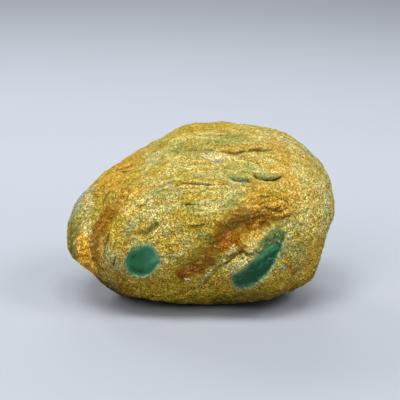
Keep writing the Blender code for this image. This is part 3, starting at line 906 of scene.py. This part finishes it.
# The jade in the windows.
DEEP_JADE = rgb(0.003, 0.048, 0.015)
MID_JADE = rgb(0.011, 0.108, 0.037)
LIGHT_JADE = rgb(0.032, 0.165, 0.075)
MILKY_JADE = rgb(0.120, 0.305, 0.165)
# The paper that the stone stands on, in tones of painted light and shade: lighter just behind the stone, darker
# in front of it and far away.
NEAR_PAPER = rgb(0.366, 0.393, 0.439)
MIDDLE_PAPER = rgb(0.452, 0.486, 0.545)
FAR_PAPER = rgb(0.310, 0.333, 0.372)
# The grains of sand, as gains on the colour under them.
DARK_GRAIN = rgb(0.46, 0.43, 0.27)
RED_GRAIN = rgb(1.250, 0.820, 0.650)
GREEN_GRAIN = rgb(0.750, 1.100, 1.300)
LIGHT_GRAIN = rgb(1.800, 1.840, 2.500)

SAND_SIZE, BED_SIZE = 0.45, 0.8  # of a grain of sand and of the bed between the grains, in millimetres

# The heights, in millimetres, from which the rind is paler towards the top, browner towards the bottom and
# darkened at the bottom by painted shade where it meets the floor, and those where each of these is full.
TOP_FROM, TOP_FULL = 46, 68
UMBER_FROM, UMBER_FULL = 36, 6
FOOT_SHADE_FROM, FOOT_SHADE_FULL = 22, 9

# How the stains are laid over the rind: field, colour, how far it covers and how ragged its border is.
STAIN_TINTS = (
    ("golden", GOLDEN, 0.90, 1.0),
    ("straw", STRAW, 0.80, 1.0),
    ("green", GREEN, 0.85, 1.0),
    ("rust", RUST, 0.88, 1.3),
    ("orange", ORANGE, 0.70, 1.0),
    ("amber", AMBER, 0.95, 0.7),
    ("red", RED, 0.80, 1.0),
    ("dark_red", DARK_RED, 0.85, 1.2),
    ("pale", PALE, 0.80, 1.2),
    ("teal", TEAL, 0.80, 1.0),
    ("dark_green", DARK_GREEN, 0.92, 1.4),
    ("misty", MISTY, 0.62, 1.8),
    # Painted shade, laid like a stain.
    ("shade", SHADE, 0.85, 1.0),
)


def rind_colour(look, place, grain, middle, small):
    """The rind: broad ochre and olive, stains with ragged borders, and light and dark grains of sand; with
    painted shade at the foot, in cracks and creases and under broken edges, and painted light and shade on the
    relief.
    """
    broad = look.noise(place, 13.0, detail=2)
    height = look.node("ShaderNodeSeparateXYZ", {}, {0: place}, "Z")
    flow, relief_light_and_shade = look.field("flow"), look.field("relief_light_and_shade")
    near_top = look.step(height, TOP_FROM, TOP_FULL)
    umber = look.step(height + (middle - 0.5) * 30, UMBER_FROM, UMBER_FULL)
    foot_shade = look.step(height + (middle - 0.5) * 12, FOOT_SHADE_FROM, FOOT_SHADE_FULL)
    hue_grain = look.noise(place, 1.0, detail=1)
    colour = look.mix(look.step(broad + (middle - 0.5) * 0.5 - flow * 0.06, 0.42, 0.60), MUSTARD, OCHRE)
    colour = look.mix(look.step(middle + (small - 0.5) * 0.5 + flow * 0.12, 0.46, 0.64) * 0.9, colour, OLIVE)
    colour = look.mix(look.step(flow, 0.15, 0.60) * near_top * 0.5, colour, GREEN)
    colour = look.mix(look.step(flow, -0.10, -0.55) * (near_top * 0.4 + 0.3), colour, GOLDEN)
    colour = look.mix(umber * 0.75, colour, UMBER)
    # Painted shade: the rind darkens towards the foot, where the stone meets the floor.
    colour = look.mix(foot_shade * 0.75, colour, FOOT_SHADE)
    colour = look.mix(look.step(hue_grain, 0.54, 0.74) * 0.25, colour, ORANGE)
    ragged = (middle - 0.5) * 1.5 + (small - 0.5) * 2.4 + flow * 0.6 + (grain - 0.5) * 1.0
    for name, tint, cover, torn in STAIN_TINTS:
        share = look.field(name) * (ragged * torn + 1.0)
        colour = look.mix(look.step(share, 0.20, 0.95) * cover, colour, tint)
    # Painted light: paler straw on the relief's crests.
    colour = look.mix(look.step(relief_light_and_shade + (grain - 0.5) * 0.8, 0.35, 1.0) * 0.32, colour, STRAW)
    fibres = look.field("fibre") * (near_top * 0.05 + 0.09)
    # Painted light and shade: the grains are lighter on the relief's crests and darker in its hollows.
    grit = (grain - 0.5) * (1.0 - near_top * 0.35) + fibres + relief_light_and_shade * 0.12
    gain = look.mix(look.clamped(grit + 0.5) ** 1.6, DARK_GRAIN, LIGHT_GRAIN)
    colour = look.mix(1.0, colour, gain, blend="MULTIPLY")
    # Painted shade in the cracks, the creases and the undercuts under broken edges.
    return look.mix(look.step(look.field("crack") + (small - 0.5) * 0.4, 0.2, 0.85) * 0.8, colour, CRACK_SHADE)


def sand_grain(look, place):
    """From 0 between the grains of sand to 1 on the palest; and which of the grains are red and green."""
    cell = look.node("ShaderNodeTexVoronoi", {}, {"Vector": place, "Scale": 1 / SAND_SIZE}, "Color")
    tone, reddish, greenish = (look.node("ShaderNodeSeparateColor", {}, {0: cell}, part) for part in range(3))
    bed = look.noise(place, BED_SIZE, detail=3, roughness=0.8)
    grain = look.clamped((tone - 0.5) * 1.20 + (bed - 0.5) * 1.5 + 0.5)
    return grain, look.step(reddish, 0.70, 0.95), look.step(greenish, 0.72, 0.95)


def jade_colour(look, place, streak, edge, small):
    """The ground jade: deep in clouds, milky in streaks and where it is marked so, and lighter at its rim."""
    cloud = look.noise(place, 4.0, detail=3, roughness=0.6, distortion=0.8)
    milky = look.field("milky")
    lit = look.step(cloud + (streak - 0.5) * 0.5 + milky * 0.4, 0.38, 0.60)
    colour = look.mix(lit, DEEP_JADE, MID_JADE)
    colour = look.mix(look.step(edge, -2.2, -0.2) * 0.5, colour, LIGHT_JADE)
    colour = look.mix(look.step(milky + (cloud - 0.5) * 0.8, 0.15, 0.9) * 0.7, colour, LIGHT_JADE)
    colour = look.mix(look.step(streak, 0.62, 0.80) * 0.30, colour, MILKY_JADE)
    colour = look.mix(look.step(milky + (small - 0.5) * 0.5, 0.75, 1.3) * 0.55, colour, MILKY_JADE)
    return look.mix(look.step(edge, -1.3, 0.1) * 0.32, colour, MILKY_JADE)


def stone_finish():
    """The sandy rind, a pale halo of thin rind round the windows, and the polished jade inside them."""
    look = Finish("weathered_rind_and_jade")
    place = look.place()
    middle = look.noise(place, 6.0, detail=3, roughness=0.6)
    small = look.noise(place, 2.2, detail=2, roughness=0.6)
    grain, reddish, greenish = sand_grain(look, place)
    colour = rind_colour(look, place, grain, middle, small)
    colour = look.mix(reddish * 0.30, colour, RED_GRAIN, blend="MULTIPLY")
    colour = look.mix(greenish * 0.30, colour, GREEN_GRAIN, blend="MULTIPLY")
    edge = look.field("window_edge") + (small - 0.5) * 0.8 + (grain - 0.5) * 0.9
    halo = look.step(edge, 2.6, 0.3) * look.step(grain + (small - 0.5), 0.25, 0.65)
    halo = halo * look.step(look.field("dark_green"), 0.6, 0.15)
    colour = look.mix(halo * 0.85, colour, HALO)
    rind = look.coat(colour, roughness=0.9, shine=0.02, normal=look.bump(grain + (small - 0.5) * 1.5, 0.35))
    streak = look.noise(look.turned(place, (0, -40, 0), (7.0, 1.0, 0.5)), 1.0, detail=3, roughness=0.6)
    ground = jade_colour(look, place, streak, edge, small)
    jade = look.coat(ground, roughness=0.42, shine=0.22, normal=look.bump(streak, 0.05))
    in_window = look.step(edge, 0.25, -0.05)
    return look.done(look.node("ShaderNodeMixShader", {}, {0: in_window, 1: rind, 2: jade}))


def paper_finish():
    """Pale paper with painted light and shade: a little lighter behind the stone than in front of it and far
    away.
    """
    look = Finish("pale_paper")
    place = look.place()
    depth = look.node("ShaderNodeSeparateXYZ", {}, {0: place}, "Y")
    near, lightest, leaving, far = -120, 330, 420, 1150  # millimetres behind the stone's middle
    # Painted light and shade: the paper's tone falls off in front of the stone and far behind it, as the lamps'
    # light does.
    tone = look.mix(look.step(depth, near, lightest), NEAR_PAPER, MIDDLE_PAPER)
    tone = look.mix(look.step(depth, leaving, far), tone, FAR_PAPER)
    tone = look.mix(look.noise(place, 60.0) * 0.05, tone, FAR_PAPER)
    shader = look.node("ShaderNodeBsdfPrincipled", {}, {"Base Color": tone, "Roughness": 0.9})
    return look.done(shader)


# ---- Studio ----


# The studio's lamps: name, place and size in metres, and power in watts.
SOFTBOXES = (
    ("key", (-0.30, -0.60, 1.30), 0.50, 9.9),
    ("key_right", (0.20, -0.60, 1.30), 0.50, 7.2),
    ("left_front", (-1.20, -0.60, 1.20), 0.60, 2.2),
    ("right_front", (1.10, -0.60, 1.20), 0.60, 11.0),
    ("front_left", (-0.50, -1.00, 0.80), 0.60, 5.8),
    ("front_right", (0.50, -1.00, 0.80), 0.60, 2.5),
    ("back", (0.00, 1.30, 0.90), 0.80, 6.2),
    ("back_left", (-0.80, 1.00, 1.00), 0.70, 7.6),
)
LAMPS_AIM = Vector((0, 0, 0.03))


def make_sweep(finish):
    """A round floor whose rim curves up into a wall all round."""
    floor_radius, bend_radius, wall_height, bend_steps = 1.3, 0.7, 0.9, 8
    rim = [(floor_radius, 0.0)]
    for step in range(1, bend_steps + 1):
        angle = math.radians(90) * step / bend_steps
        rim.append((floor_radius + bend_radius * math.sin(angle), bend_radius * (1 - math.cos(angle))))
    rim.append((floor_radius + bend_radius, bend_radius + wall_height))
    bpy.ops.object.select_all(action="DESELECT")
    bpy.ops.mesh.primitive_circle_add(vertices=96, radius=floor_radius, fill_type="TRIFAN")
    sweep = bpy.context.object
    sweep.name = sweep.data.name = "sweep"
    bpy.ops.object.mode_set(mode="EDIT")
    bpy.ops.mesh.region_to_loop()
    for (radius, height), (next_radius, next_height) in zip(rim, rim[1:]):
        wider = next_radius / radius
        bpy.ops.mesh.extrude_edges_move()
        bpy.ops.transform.resize(value=(wider, wider, 1), center_override=(0, 0, height))
        bpy.ops.transform.translate(value=(0, 0, next_height - height))
    bpy.ops.object.mode_set(mode="OBJECT")
    bpy.ops.object.shade_smooth()
    sweep.data.materials.append(finish)


def add_softbox(name, place, size, power):
    """A round lamp turned to the stone."""
    lamp = bpy.data.lights.new(name, "AREA")
    lamp.shape = "DISK"
    lamp.size, lamp.energy = size, power
    holder = bpy.data.objects.new(name, lamp)
    bpy.context.scene.collection.objects.link(holder)
    holder.location = place
    holder.rotation_euler = (LAMPS_AIM - Vector(place)).to_track_quat("-Z", "Y").to_euler()


def light_studio():
    for name, place, size, power in SOFTBOXES:
        add_softbox(name, place, size, power)
    world = bpy.data.worlds.new("studio")
    bpy.context.scene.world = world
    world.use_nodes = True
    world.node_tree.nodes["Background"].inputs["Strength"].default_value = 0.0


def set_camera():
    """A long lens in front of the stone, 15 degrees above it, with the stone a little below the middle."""
    side_pixels, pixel = 400, 0.4528 * MM  # a pixel as wide as what it covers at the stone's middle
    rise = 13 * pixel
    camera = bpy.data.cameras.new("camera")
    holder = bpy.data.objects.new("camera", camera)
    bpy.context.scene.collection.objects.link(holder)
    holder.location = CENTRE - FRONT.look * EYE_DISTANCE + FRONT.up * rise
    holder.rotation_euler = FRONT.look.to_track_quat("-Z", "Y").to_euler()
    camera.sensor_width = 36.0
    camera.lens = camera.sensor_width * EYE_DISTANCE / (side_pixels * pixel)
    camera.clip_start, camera.clip_end = 0.05, 20.0
    bpy.context.scene.camera = holder


def main():
    bpy.context.scene.view_settings.view_transform = "Standard"
    set_camera()
    stone = make_stone(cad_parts["boulder"])
    stone.data.materials.append(stone_finish())
    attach(stone, "root")
    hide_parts("boulder")
    make_sweep(paper_finish())
    light_studio()


main()
